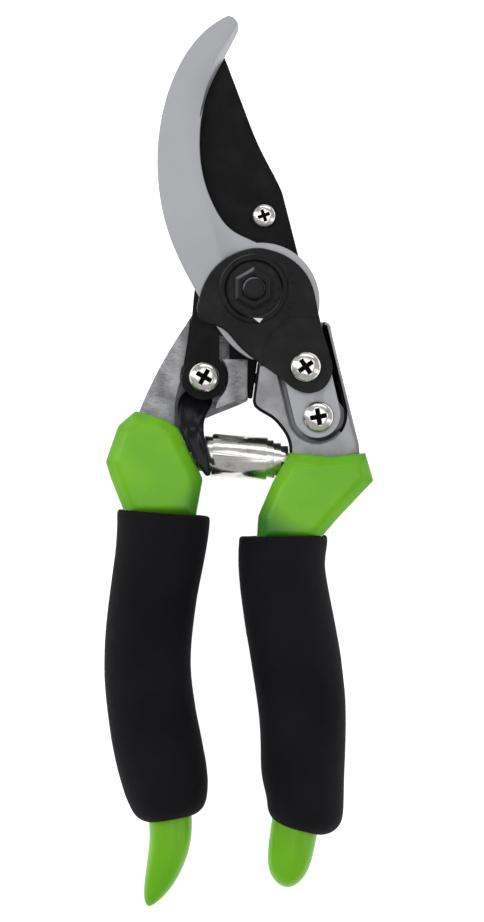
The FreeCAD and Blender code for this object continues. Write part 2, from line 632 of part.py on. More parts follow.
def build():
    run = (vec(SPRING_TO) - vec(SPRING_FROM)).normalize()
    room = spring_room()
    left_core = left_handle_core().cut(room)
    right_core = right_handle_core().cut(room)
    left_coat = coat_outer(LEFT_BULGE, LEFT_LIMB)
    right_coat = coat_outer(RIGHT_BULGE, RIGHT_LIMB)
    left_pin = spring_pin(SPRING_FROM, run)
    right_pin = spring_pin(SPRING_TO, run * -1)
    blade_top = BLADE_Z + BLADE_T
    step_top = PLATE_Z + PLATE_T - PRESS_DEPTH
    return {
        "left_handle_core": left_core.cut(left_pin),
        "left_handle_dip": left_coat.cut(left_core).cut(left_pin).cut(room),
        "left_grip": grip(LEFT_GRIP, LEFT_BULGE, LEFT_LIMB),
        "right_handle_core": right_core.cut(right_pin),
        "right_handle_dip": right_coat.cut(right_core).cut(right_pin).cut(room),
        "right_grip": grip(RIGHT_GRIP, RIGHT_BULGE, RIGHT_LIMB),
        "cutting_blade": cutting_blade(),
        "hook_jaw": hook_jaw(),
        "lock_plate": lock_plate(),
        "thumb_catch": thumb_catch(),
        "stop_bumper": stop_bumper(),
        "volute_spring": volute_spring(),
        "left_spring_pin": left_pin,
        "right_spring_pin": right_pin,
        "pivot_bolt": pivot_bolt(),
        "pivot_bushing": pivot_bushing(),
        "tension_washer": tension_washer(),
        "pivot_nut": pivot_nut(),
        "blade_screw": pan_screw(BLADE_SCREW_AT, blade_top, HUB_Z + 1.0, BLADE_SCREW_HEAD_R,
                                 BLADE_SCREW_HEAD_H, BLADE_SCREW_SHANK_R, 20),
        "catch_screw": pan_screw(CATCH_AT, blade_top, HUB_Z + 1.0, SCREW_HEAD_R,
                                 SCREW_HEAD_H, SCREW_SHANK_R, 60),
        "plate_screw": pan_screw(PLATE_SCREW_AT, step_top, RIGHT_BACK_Z + 1.0, SCREW_HEAD_R,
                                 SCREW_HEAD_H, SCREW_SHANK_R, 35),
        "tang_screw": pan_screw(TANG_SCREW_AT, PLATE_Z, RIGHT_BACK_Z + 1.0, SCREW_HEAD_R, SCREW_HEAD_H,
                                SCREW_SHANK_R, 10),
    }


os.makedirs("parts", exist_ok=True)
for name, shape in build().items():
    assert shape.isValid() and len(shape.Solids) == 1, (name, shape.isValid(), len(shape.Solids))
    shape.Solids[0].exportStep(f"parts/{name}.step")
    print(name, round(shape.Volume))
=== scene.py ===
"""Looks of the bypass pruner: soft grips, dipped coats, spring, catch and every finish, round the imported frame."""

import logging
import math
from dataclasses import dataclass, field
from enum import Enum
from typing import Callable, Sequence

import bpy
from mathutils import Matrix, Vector

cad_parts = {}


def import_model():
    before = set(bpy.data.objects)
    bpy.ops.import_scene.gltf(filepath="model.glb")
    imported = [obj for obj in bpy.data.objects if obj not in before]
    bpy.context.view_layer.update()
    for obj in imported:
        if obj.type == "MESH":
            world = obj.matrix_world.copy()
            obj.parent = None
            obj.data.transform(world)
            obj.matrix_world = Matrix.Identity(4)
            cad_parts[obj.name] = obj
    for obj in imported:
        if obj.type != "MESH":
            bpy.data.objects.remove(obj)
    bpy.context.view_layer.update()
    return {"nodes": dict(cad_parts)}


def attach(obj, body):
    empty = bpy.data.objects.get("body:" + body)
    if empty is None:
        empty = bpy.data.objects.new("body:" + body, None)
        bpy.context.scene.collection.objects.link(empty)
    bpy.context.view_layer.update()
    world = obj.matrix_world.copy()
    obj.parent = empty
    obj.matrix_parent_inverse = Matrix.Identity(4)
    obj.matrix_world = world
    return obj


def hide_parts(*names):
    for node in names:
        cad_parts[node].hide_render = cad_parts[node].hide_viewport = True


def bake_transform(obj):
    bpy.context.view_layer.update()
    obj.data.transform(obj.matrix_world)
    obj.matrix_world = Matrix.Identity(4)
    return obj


LOG = logging.getLogger("pruner")
MM = 0.001
VIEW_CENTRE = Vector((-2.9, -41.6, 12.0))      # middle of the view, in mm
VIEW_HEIGHT = 224.0                             # mm shown from top to bottom

MID_Z = 11.5                                    # middle height of the handles, in mm
Station = tuple[float, float, float, float, float]   # place along Y, centre X, half width, half height, turn
Point = tuple[float, float]
Colour = tuple[float, float, float]


class Body(str, Enum):
    """The rigid bodies of the frame."""

    LEFT = "left_half"
    RIGHT = "right_half"
    CATCH = "catch_lever"


# ---------------------------------------------------------------- shader maths

class Signal:
    """A shader socket that can be used in Python expressions."""

    def __init__(self, graph: "Graph", socket: bpy.types.NodeSocket) -> None:
        """Wraps one output socket of the graph."""
        self.graph = graph
        self.socket = socket

    def _math(self, operation: str, a: "Signal | float", b: "Signal | float") -> "Signal":
        """Adds one Math node and returns its result."""
        return self.graph.node("ShaderNodeMath", {"operation": operation}, {0: a, 1: b})

    def __add__(self, other: "Signal | float") -> "Signal":
        """Sum."""
        return self._math("ADD", self, other)

    def __radd__(self, other: float) -> "Signal":
        """Sum with a number on the left."""
        return self._math("ADD", other, self)

    def __sub__(self, other: "Signal | float") -> "Signal":
        """Difference."""
        return self._math("SUBTRACT", self, other)

    def __rsub__(self, other: float) -> "Signal":
        """Difference from a number."""
        return self._math("SUBTRACT", other, self)

    def __mul__(self, other: "Signal | float") -> "Signal":
        """Product."""
        return self._math("MULTIPLY", self, other)

    def __rmul__(self, other: float) -> "Signal":
        """Product with a number on the left."""
        return self._math("MULTIPLY", other, self)

    def __pow__(self, other: float) -> "Signal":
        """Power."""
        return self._math("POWER", self, other)

    def clamp(self) -> "Signal":
        """The value held between 0 and 1."""
        return self.graph.node("ShaderNodeClamp", None, {"Value": self})

    def band(self, low: float, high: float) -> "Signal":
        """Smooth step from 0 at low to 1 at high."""
        return self.graph.node("ShaderNodeMapRange", {"interpolation_type": "SMOOTHSTEP", "clamp": True},
                               {"Value": self, "From Min": low, "From Max": high})


class Graph:
    """Node tree of one material, with a principled surface."""

    def __init__(self, name: str) -> None:
        """Makes the material and its surface node."""
        self.material = bpy.data.materials.new(name)
        self.material.use_nodes = True
        self.tree = self.material.node_tree
        self.tree.nodes.clear()
        self.surface = self.tree.nodes.new("ShaderNodeBsdfPrincipled")
        output = self.tree.nodes.new("ShaderNodeOutputMaterial")
        self.tree.links.new(self.surface.outputs["BSDF"], output.inputs["Surface"])

    def node(self, kind: str, settings: dict[str, object] | None = None,
             inputs: dict[str | int, object] | None = None, output: str | int = 0) -> Signal:
        """Adds one node.

        Args:
            kind: Blender's type name of the node.
            settings: attributes that are set before the sockets; "stops" sets the stops of a ramp.
            inputs: values or signals by socket name or number.
            output: the socket that is returned.

        Returns:
            The chosen output.
        """
        made = self.tree.nodes.new(kind)
        for key, value in (settings or {}).items():
            if key == "stops":
                self._set_stops(made.color_ramp, value)
            else:
                setattr(made, key, value)
        for key, value in (inputs or {}).items():
            if isinstance(value, Signal):
                self.tree.links.new(value.socket, made.inputs[key])
            else:
                made.inputs[key].default_value = value
        return Signal(self, made.outputs[output])

    @staticmethod
    def _set_stops(ramp: bpy.types.ColorRamp, stops: Sequence[tuple[float, Colour]]) -> None:
        """Gives a colour ramp its stops, in order of place."""
        while len(ramp.elements) < len(stops):
            ramp.elements.new(0.5)
        for element, (place, colour) in zip(ramp.elements, stops):
            element.position = place
            element.color = (*colour, 1.0)

    def coordinates(self, scale: Sequence[float] = (1.0, 1.0, 1.0), turn: float = 0.0) -> Signal:
        """Object coordinates in millimetres, scaled and turned about Z (degrees)."""
        place = self.node("ShaderNodeTexCoord", output="Object")
        return self.node("ShaderNodeMapping", {"vector_type": "POINT"}, {
            "Vector": place, "Scale": [s / MM for s in scale], "Rotation": (0.0, 0.0, math.radians(turn))})

    def facing(self, toward: Sequence[float]) -> Signal:
        """How far the surface faces a direction of the piece, from -1 to 1."""
        normal = self.node("ShaderNodeTexCoord", output="Normal")
        return self.node("ShaderNodeVectorMath", {"operation": "DOT_PRODUCT"},
                         {0: normal, 1: tuple(toward)}, "Value")

    def away_from(self, centre: Sequence[float], reach: Sequence[float]) -> Signal:
        """Distance from a point in millimetres, in units of the reach along each axis."""
        place = self.node("ShaderNodeTexCoord", output="Object")
        shifted = self.node("ShaderNodeVectorMath", {"operation": "SUBTRACT"},
                            {0: place, 1: tuple(c * MM for c in centre)})
        scaled = self.node("ShaderNodeVectorMath", {"operation": "DIVIDE"},
                           {0: shifted, 1: tuple(r * MM for r in reach)})
        return self.node("ShaderNodeVectorMath", {"operation": "LENGTH"}, {0: scaled}, "Value")

    def noise(self, size: float, detail: float = 3.0, rough: float = 0.5, where: Signal | None = None) -> Signal:
        """Noise between 0 and 1 whose features are about the given size in millimetres."""
        return self.node("ShaderNodeTexNoise", None, {
            "Vector": where or self.coordinates(), "Scale": 1.0 / size, "Detail": detail, "Roughness": rough})

    def cells(self, size: float, feature: str = "F1", where: Signal | None = None) -> Signal:
        """Distance pattern of cells about the given size in millimetres."""
        return self.node("ShaderNodeTexVoronoi", {"feature": feature}, {
            "Vector": where or self.coordinates(), "Scale": 1.0 / size}, "Distance")

    def blend(self, amount: Signal | float, a: Colour | Signal, b: Colour | Signal) -> Signal:
        """Colour that goes from a to b with the amount."""
        made = self.tree.nodes.new("ShaderNodeMix")
        made.data_type = "RGBA"
        for socket, value in ((made.inputs[0], amount), (made.inputs[6], a), (made.inputs[7], b)):
            if isinstance(value, Signal):
                self.tree.links.new(value.socket, socket)
            else:
                socket.default_value = (*value, 1.0) if isinstance(value, tuple) else value
        return Signal(self, made.outputs[2])

    def bump(self, height: Signal, depth: float, strength: float = 1.0) -> None:
        """Feeds the surface's normal from a height between 0 and 1.

        Args:
            height: the height pattern.
            depth: how deep the pattern is, in millimetres.
            strength: how strongly the bump acts.
        """
        bumped = self.node("ShaderNodeBump", None, {
            "Height": height, "Distance": depth * MM, "Strength": strength}, "Normal")
        self.tree.links.new(bumped.socket, self.surface.inputs["Normal"])

    def set(self, **values: object) -> None:
        """Sets surface sockets; underscores in a name stand for spaces."""
        for key, value in values.items():
            socket = self.surface.inputs[key.replace("_", " ")]
            if isinstance(value, Signal):
                self.tree.links.new(value.socket, socket)
            elif isinstance(value, tuple):
                socket.default_value = (*value, 1.0)
            else:
                socket.default_value = value


# ---------------------------------------------------------------- finishes

@dataclass(frozen=True)
class SatinSteel:
    """Ground steel with a fine grain along the jaw."""

    name: str = "satin_steel"
    pale: Colour = (0.40, 0.405, 0.425)
    dark: Colour = (0.335, 0.338, 0.355)
    grain_turn: float = 12.0

    def build(self) -> bpy.types.Material:
        """Returns the finished material."""
        g = Graph(self.name)
        grain = g.noise(1.0, 4.0, 0.6, g.coordinates((9.0, 0.35, 2.0), self.grain_turn))
        cloud = g.noise(16.0, 2.0)
        g.set(Base_Color=g.blend(cloud * 0.7 + grain * 0.3, self.dark, self.pale),
              Roughness=0.40 + 0.10 * grain, Metallic=0.75)
        g.bump(grain, 0.012, 0.4)
        return g.material


@dataclass(frozen=True)
class BlackCoat:
    """Matte non-stick coat over steel, faintly clouded, with a painted highlight of chosen strength on the slopes that
    face up and to the left.
    """

    name: str = "black_coat"
    base: Colour = (0.0050, 0.0050, 0.0058)
    worn: Colour = (0.0105, 0.0105, 0.0118)
    rough: float = 0.5
    shine: float = 0.10
    painted_highlight_strength: float = 0.0

    def build(self) -> bpy.types.Material:
        """Returns the finished material."""
        g = Graph(self.name)
        cloud = g.noise(6.0, 4.0, 0.6)
        speck = g.noise(0.35, 2.0)
        # painted highlight: slopes that face up and to the left are lightened, a little clouded, by the chosen
        # strength
        painted_highlight_mask = g.facing((-0.62, 0.78, 0.0)).band(0.3, 0.6) * (0.35 + cloud) * self.painted_highlight_strength
        coat = g.blend(cloud.band(0.4, 0.7), self.base, self.worn)
        # the pale grey below is the colour of the painted highlight
        g.set(Base_Color=g.blend(painted_highlight_mask, coat, (0.16, 0.165, 0.18)),
              Roughness=self.rough - 0.1 + 0.2 * cloud, Specular_IOR_Level=self.shine)
        g.bump(speck, 0.01, 0.4)
        return g.material


@dataclass(frozen=True)
class CastAluminium:
    """Cast and tumbled aluminium with scratches, clouded between pale and dark, and painted near black as shade on its
    rim that faces down and to the left.
    """

    name: str = "cast_aluminium"
    pale: Colour = (0.40, 0.40, 0.41)
    dark: Colour = (0.20, 0.20, 0.21)
    grit_depth: float = 0.05
    scratches: float = 0.5
    shade_paint_toward: tuple[float, float, float] = (-0.75, -0.66, 0.0)
    shade_paint_from: float = 0.35

    def build(self) -> bpy.types.Material:
        """Returns the finished material."""
        g = Graph(self.name)
        grit = g.noise(0.5, 5.0, 0.65)
        cloud = g.noise(6.0, 3.0)
        scratch = g.noise(1.0, 2.0, 0.5, g.coordinates((0.5, 7.0, 1.0), 28.0)).band(0.60, 0.72)
        # painted shade: faces turned down and to the left are blended to near black and made less metallic
        rim = g.facing(self.shade_paint_toward).band(self.shade_paint_from, self.shade_paint_from + 0.12)
        metal = g.blend(cloud.band(0.3, 0.7) * 0.7 + grit * 0.3, self.dark, self.pale)
        g.set(Base_Color=g.blend(rim, metal, (0.006, 0.006, 0.007)),
              Roughness=0.38 + 0.16 * grit, Metallic=0.75 - 0.65 * rim)
        g.bump(grit * 0.8 + scratch * self.scratches, self.grit_depth, 0.45)
        return g.material


@dataclass(frozen=True)
class GreenDip:
    """Thick glossy dipped coat, its green deepened by painted shade away from the middle of its shoulder."""

    name: str
    centre: tuple[float, float, float]
    reach: tuple[float, float, float]
    bright: Colour = (0.185, 0.520, 0.012)
    painted_shade_green: Colour = (0.020, 0.150, 0.022)

    def build(self) -> bpy.types.Material:
        """Returns the finished material."""
        g = Graph(self.name)
        cloud = g.noise(14.0, 2.0)
        ripple = g.noise(3.5, 2.0)
        away = g.away_from(self.centre, self.reach)
        # painted shade: the green deepens with distance from the shoulder's middle, then fades back far away from it
        painted_shade_ring = away.band(0.60, 1.12) * (1.0 - away.band(2.5, 4.0))
        body = g.blend(cloud.band(0.3, 0.75), (0.140, 0.450, 0.010), self.bright)
        g.set(Base_Color=g.blend(painted_shade_ring * 0.85, body, self.painted_shade_green),
              Roughness=0.24 + 0.08 * ripple, Coat_Weight=0.15, Coat_Roughness=0.08, Specular_IOR_Level=0.2)
        g.bump(ripple, 0.05, 0.35)
        return g.material


@dataclass(frozen=True)
class BlackFoam:
    """Closed-cell foam skin with fine pores."""

    name: str = "black_foam"
    base: Colour = (0.0048, 0.0048, 0.0056)
    pale: Colour = (0.0098, 0.0096, 0.0125)

    def build(self) -> bpy.types.Material:
        """Returns the finished material."""
        g = Graph(self.name)
        pores = g.cells(0.45)
        lumps = g.noise(2.5, 3.0)
        cloud = g.noise(22.0, 2.0)
        g.set(Base_Color=g.blend(cloud.band(0.3, 0.7) * 0.6 + pores * 0.4, self.base, self.pale),
              Roughness=0.80 + 0.12 * lumps, Specular_IOR_Level=0.10)
        g.bump(pores * 0.7 + lumps * 0.5, 0.07, 0.5)
        return g.material


@dataclass(frozen=True)
class GlossBlack:
    """Glossy black enamel with a soft orange-peel ripple."""

    name: str = "gloss_black"
    base: Colour = (0.0030, 0.0030, 0.0048)
    rough: float = 0.16
    shine: float = 0.14
    coat: float = 0.10

    def build(self) -> bpy.types.Material:
        """Returns the finished material."""
        g = Graph(self.name)
        ripple = g.noise(2.2, 3.0)
        g.set(Base_Color=g.blend(ripple, self.base, (0.009, 0.009, 0.014)),
              Roughness=self.rough + 0.12 * ripple, Coat_Weight=self.coat, Coat_Roughness=0.08,
              Specular_IOR_Level=self.shine)
        g.bump(ripple, 0.06, 0.3)
        return g.material


@dataclass(frozen=True)
class BrightSteel:
    """Plated or polished steel, with faint stains."""

    name: str = "bright_steel"
    pale: Colour = (0.78, 0.77, 0.74)
    stain: Colour = (0.50, 0.47, 0.43)
    rough: float = 0.12
    size: float = 3.0

    def build(self) -> bpy.types.Material:
        """Returns the finished material."""
        g = Graph(self.name)
        cloud = g.noise(self.size, 3.0, 0.5)
        g.set(Base_Color=g.blend(cloud.band(0.45, 0.75), self.pale, self.stain),
              Roughness=self.rough + 0.14 * cloud, Metallic=1.0)
        g.bump(cloud, 0.05, 0.25)
        return g.material


@dataclass(frozen=True)
class DarkRubber:
    """Matte black rubber, and the painted shade of recesses and shaded rims."""

    name: str = "dark_rubber"

    def build(self) -> bpy.types.Material:
        """Returns the finished material."""
        g = Graph(self.name)
        grit = g.noise(0.6, 3.0)
        g.set(Base_Color=g.blend(grit, (0.0032, 0.0032, 0.0032), (0.0065, 0.0065, 0.0065)),
              Roughness=0.7 + 0.15 * grit, Specular_IOR_Level=0.12)
        g.bump(grit, 0.03, 0.4)
        return g.material


@dataclass(frozen=True)
class TurnedBrass:
    """Turned brass with fine rings."""

    name: str = "turned_brass"

    def build(self) -> bpy.types.Material:
        """Returns the finished material."""
        g = Graph(self.name)
        rings = g.noise(0.4, 2.0, 0.5, g.coordinates((1.0, 1.0, 6.0)))
        g.set(Base_Color=g.blend(rings, (0.52, 0.36, 0.13), (0.72, 0.53, 0.22)),
              Roughness=0.22 + 0.1 * rings, Metallic=1.0)
        g.bump(rings, 0.01, 0.4)
        return g.material


@dataclass(frozen=True)
class WhitePaint:
    """Paint that fills a pressed mark."""

    name: str = "white_paint"

    def build(self) -> bpy.types.Material:
        """Returns the finished material."""
        g = Graph(self.name)
        chip = g.noise(0.5, 3.0)
        g.set(Base_Color=g.blend(chip.band(0.5, 0.8), (0.85, 0.85, 0.85), (0.62, 0.62, 0.62)),
              Roughness=0.45 + 0.2 * chip)
        return g.material


# ---------------------------------------------------------------- hand modelling

class Shape:
    """One mesh that is modelled with edit-mode operators, in millimetres."""

    def __init__(self, name: str) -> None:
        """Remembers the name; the first modelling call adds the primitive."""
        self.name = name
        self.centre = Vector((0.0, 0.0, 0.0))
        self.half = (1.0, 1.0)
        self.turn = 0.0

    def _start(self) -> None:
        """Names the primitive that was just added, flattens its transform and opens it for editing."""
        self.object = bpy.context.active_object
        self.object.name = self.name
        self.object.data.name = self.name
        bpy.ops.object.transform_apply(location=True, rotation=True, scale=True)
        bpy.ops.object.mode_set(mode="EDIT")
        bpy.ops.mesh.select_mode(type="VERT")
        bpy.ops.mesh.select_all(action="SELECT")

    def _rotate(self, degrees: float, axis: str = "Z") -> None:
        """Turns the selection about the centre; without a window the operator turns the other way."""
        if degrees:
            bpy.ops.transform.rotate(value=-math.radians(degrees), orient_axis=axis,
                                     center_override=self.centre * MM)

    def _scale(self, x: float, y: float, z: float, about: Vector | None = None) -> None:
        """Scales the selection about the centre or another point."""
        bpy.ops.transform.resize(value=(x, y, z), center_override=(self.centre if about is None else about) * MM)

    def ring(self, centre: Sequence[float], width: float, height: float, sides: int = 24,
             turn: float = 0.0) -> "Shape":
        """Starts a tube with an open oval ring across Y.

        Args:
            centre: the ring's centre.
            width: half width in X.
            height: half height in Z.
            sides: number of corners.
            turn: degrees by which the ring is turned about Z.
        """
        bpy.ops.object.select_all(action="DESELECT")
        bpy.ops.mesh.primitive_circle_add(vertices=sides, radius=MM, fill_type="NOTHING",
                                          location=Vector(centre) * MM, rotation=(math.pi / 2, 0.0, 0.0))
        self._start()
        self.centre, self.half, self.turn = Vector(centre), (width, height), turn
        self._scale(width, 1.0, height)
        self._rotate(turn)
        return self

    def to(self, centre: Sequence[float], width: float, height: float, turn: float = 0.0) -> "Shape":
        """Extrudes the selected ring to a new centre, size and turn."""
        move = (Vector(centre) - self.centre) * MM
        bpy.ops.mesh.extrude_region_move(TRANSFORM_OT_translate={"value": move})
        self.centre = Vector(centre)
        self._rotate(-self.turn)
        self._scale(width / self.half[0], 1.0, height / self.half[1])
        self._rotate(turn)
        self.half, self.turn = (width, height), turn
        return self

    def disc(self, at: Point, z: float, radius: float, sides: int = 40) -> "Shape":
        """Starts a turned form with an open ring round Z."""
        bpy.ops.object.select_all(action="DESELECT")
        bpy.ops.mesh.primitive_circle_add(vertices=sides, radius=radius * MM, fill_type="NOTHING",
                                          location=(at[0] * MM, at[1] * MM, z * MM))
        self._start()
        self.centre, self.half = Vector((at[0], at[1], z)), (radius, radius)
        return self

    def rise(self, z: float, radius: float) -> "Shape":
        """Extrudes the selected ring of a turned form to a height and radius."""
        bpy.ops.mesh.extrude_region_move(TRANSFORM_OT_translate={"value": (0.0, 0.0, (z - self.centre.z) * MM)})
        self.centre.z = z
        self._scale(radius / self.half[0], radius / self.half[0], 1.0)
        self.half = (radius, radius)
        return self

    def close(self) -> "Shape":
        """Closes the selected ring with faces that meet in a point."""
        bpy.ops.mesh.edge_face_add()
        bpy.ops.mesh.poke()
        return self

    def close_both(self) -> "Shape":
        """Closes both open rings of a tube."""
        self.close()
        bpy.ops.mesh.select_all(action="DESELECT")
        bpy.ops.mesh.select_mode(type="VERT")
        bpy.ops.mesh.select_non_manifold()
        return self.close()

    def outline(self, points: Sequence[Point], low: float, high: float) -> "Shape":
        """Starts a flat-sided block from an outline in X and Y.

        Args:
            points: corners of the outline, in order.
            low: height of its back.
            high: height of its front.
        """
        bpy.ops.object.select_all(action="DESELECT")
        bpy.ops.mesh.primitive_circle_add(vertices=len(points), radius=MM, fill_type="NGON")
        corners = bpy.context.active_object.data.vertices
        for corner, (x, y) in zip(corners, points):
            corner.co = (x * MM, y * MM, low * MM)
        self._start()
        bpy.ops.mesh.extrude_region_move(TRANSFORM_OT_translate={"value": (0.0, 0.0, (high - low) * MM)})
        return self

    def pick_edges(self, keep: Callable[[Vector, Vector], bool]) -> "Shape":
        """Selects the edges whose two ends, in millimetres, pass the test."""
        bpy.ops.mesh.select_all(action="DESELECT")
        bpy.ops.mesh.select_mode(type="EDGE")
        bpy.ops.object.mode_set(mode="OBJECT")
        mesh = self.object.data
        for edge in mesh.edges:
            a, b = (Vector(mesh.vertices[i].co) / MM for i in edge.vertices)
            edge.select = keep(a, b)
        bpy.ops.object.mode_set(mode="EDIT")
        return self

    def pick_corners(self, keep: Callable[[Vector], bool]) -> "Shape":
        """Selects the corners whose place, in millimetres, passes the test."""
        bpy.ops.mesh.select_all(action="DESELECT")
        bpy.ops.mesh.select_mode(type="VERT")
        bpy.ops.object.mode_set(mode="OBJECT")
        for corner in self.object.data.vertices:
            corner.select = keep(Vector(corner.co) / MM)
        bpy.ops.object.mode_set(mode="EDIT")
        return self

    def move(self, x: float, y: float, z: float) -> "Shape":
        """Moves the selection."""
        bpy.ops.transform.translate(value=(x * MM, y * MM, z * MM))
        return self

    def bevel(self, width: float, segments: int = 3) -> "Shape":
        """Bevels the selected edges."""
        bpy.ops.mesh.bevel(offset=width * MM, segments=segments, affect="EDGES")
        return self

    def leave(self) -> bpy.types.Object:
        """Merges doubles, turns the faces outwards and returns the object."""
        bpy.ops.mesh.select_mode(type="VERT")
        bpy.ops.mesh.select_all(action="SELECT")
        bpy.ops.mesh.remove_doubles(threshold=0.001 * MM)
        bpy.ops.mesh.normals_make_consistent(inside=False)
        bpy.ops.object.mode_set(mode="OBJECT")
        only(self.object)
        return self.object


def only(piece: bpy.types.Object) -> None:
    """Selects one object and nothing else."""
    bpy.ops.object.select_all(action="DESELECT")
    piece.select_set(True)
    bpy.context.view_layer.objects.active = piece


def modify(piece: bpy.types.Object, kind: str, **settings: object) -> bpy.types.Object:
    """Adds one modifier to a piece and applies it."""
    only(piece)
    modifier = piece.modifiers.new(kind.lower(), kind)
    for key, value in settings.items():
        setattr(modifier, key, value)
    bpy.ops.object.modifier_apply(modifier=modifier.name)
    return piece


def soften(piece: bpy.types.Object, width: float, segments: int = 3, angle: float = 30.0) -> bpy.types.Object:
    """Rounds every edge that is sharper than the angle."""
    return modify(piece, "BEVEL", width=width * MM, segments=segments, limit_method="ANGLE",
                  angle_limit=math.radians(angle), use_clamp_overlap=True)


def subdivide(piece: bpy.types.Object, levels: int = 2) -> bpy.types.Object:
    """Subdivides a piece and shades it smooth."""
    modify(piece, "SUBSURF", levels=levels, render_levels=levels)
    bpy.ops.object.shade_smooth()
    return piece


def shade(piece: bpy.types.Object, angle: float = 35.0) -> bpy.types.Object:
    """Shades a piece smooth but for its sharp edges."""
    only(piece)
    bpy.ops.object.shade_smooth_by_angle(angle=math.radians(angle))
    return piece


def combine(piece: bpy.types.Object, other: bpy.types.Object, operation: str = "UNION") -> bpy.types.Object:
    """Joins or cuts one closed mesh with another, which is then removed."""
    modify(piece, "BOOLEAN", operation=operation, object=other, solver="EXACT")
    bpy.data.objects.remove(other)
    return piece


def dress(piece: bpy.types.Object, material: bpy.types.Material) -> None:
    """Gives a piece one material."""
    piece.data.materials.clear()
    piece.data.materials.append(material)


def fit_out(piece: bpy.types.Object, body: Body, node: str) -> None:
    """Puts a dressed piece in place of a node of the frame."""
    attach(piece, body.value)
    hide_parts(node)
    tall = [corner.co.z / MM for corner in piece.data.vertices]
    LOG.info("%s rides on %s in place of %s, from height %.1f to %.1f", piece.name, body.value, node,
             min(tall), max(tall))


# ---------------------------------------------------------------- handles

@dataclass
class Grip:
    """Foam sleeve with a bore: crisp at its mouth, well rounded at its foot."""

    name: str
    node: str
    body: Body
    stations: list[Station]
    bore: list[Station]
    foot_round: float = 5.8
    mouth_round: float = 1.0

    def build(self, finish: bpy.types.Material) -> bpy.types.Object:
        """Models the sleeve as one closed tube and dresses it.

        Args:
            finish: the foam material.

        Returns:
            The finished piece.
        """
        r, m = self.foot_round, self.mouth_round
        mouth, foot = self.stations[0], self.stations[-1]
        rings: list[Station] = []
        for along, inset in ((0.0, m), (0.05 * m, 0.45 * m), (0.45 * m, 0.04 * m), (1.6 * m, 0.0)):
            rings.append(self._inset(mouth, -along, inset))
        rings += self.stations[1:-1]
        for along, inset in ((0.95 * r, 0.0), (0.5 * r, 0.13 * r), (0.2 * r, 0.36 * r), (0.03 * r, 0.7 * r),
                             (0.0, 0.95 * r)):
            rings.append(self._inset(foot, along, inset))
        rings += list(reversed(self.bore))
        y, x, w, t, turn = self.bore[0]
        shape = Shape(self.name).ring((x, y, MID_Z), w, t, 28, turn)
        for y, x, w, t, turn in rings:
            shape.to((x, y, MID_Z), w, t, turn)
        piece = subdivide(shape.leave(), 2)
        self._knead(piece)
        dress(piece, finish)
        fit_out(piece, self.body, self.node)
        return piece

    @staticmethod
    def _inset(station: Station, along: float, inset: float) -> Station:
        """A station moved along the sleeve and made smaller all round."""
        y, x, w, t, turn = station
        side = -math.sin(math.radians(turn)) * along
        return y + along, x + side, w - inset, t - inset, turn

    @staticmethod
    def _knead(piece: bpy.types.Object) -> None:
        """Gives the skin the faint unevenness of moulded foam."""
        texture = bpy.data.textures.new(piece.name + "_lumps", "CLOUDS")
        texture.noise_scale = 9.0 * MM
        modify(piece, "DISPLACE", texture=texture, strength=0.2 * MM, mid_level=0.5, texture_coords="LOCAL")


@dataclass
class DippedHandle:
    """Dipped coat: a faceted shoulder at the top, and a bar that runs through the grip to the bare tail."""

    name: str
    node: str
    body: Body
    shoulder: list[Point]
    bar: list[Station]
    half_thick: float = 7.8
    facet: float = 2.6
    grain: float = 0.45
    melt: int = 7

    def build(self, finish: bpy.types.Material) -> bpy.types.Object:
        """Models shoulder and bar, joins them and dresses the coat."""
        low, high = MID_Z - self.half_thick, MID_Z + self.half_thick
        block = Shape(self.name).outline(self.shoulder, low, high)
        block.pick_edges(lambda a, b: abs(a.z - b.z) < 0.01)
        block.bevel(self.facet, 1)
        piece = block.leave()
        y, x, w, t, turn = self.bar[0]
        tube = Shape(self.name + "_bar").ring((x, y, MID_Z), w, t, 24, turn)
        for y, x, w, t, turn in self.bar[1:]:
            tube.to((x, y, MID_Z), w, t, turn)
        tube.close_both()
        combine(piece, modify(tube.leave(), "SUBSURF", levels=2, render_levels=2))
        modify(piece, "REMESH", mode="VOXEL", voxel_size=self.grain * MM)
        modify(piece, "SMOOTH", factor=0.5, iterations=self.melt)
        bpy.ops.object.shade_smooth()
        dress(piece, finish)
        fit_out(piece, self.body, self.node)
        return piece


# ---------------------------------------------------------------- head

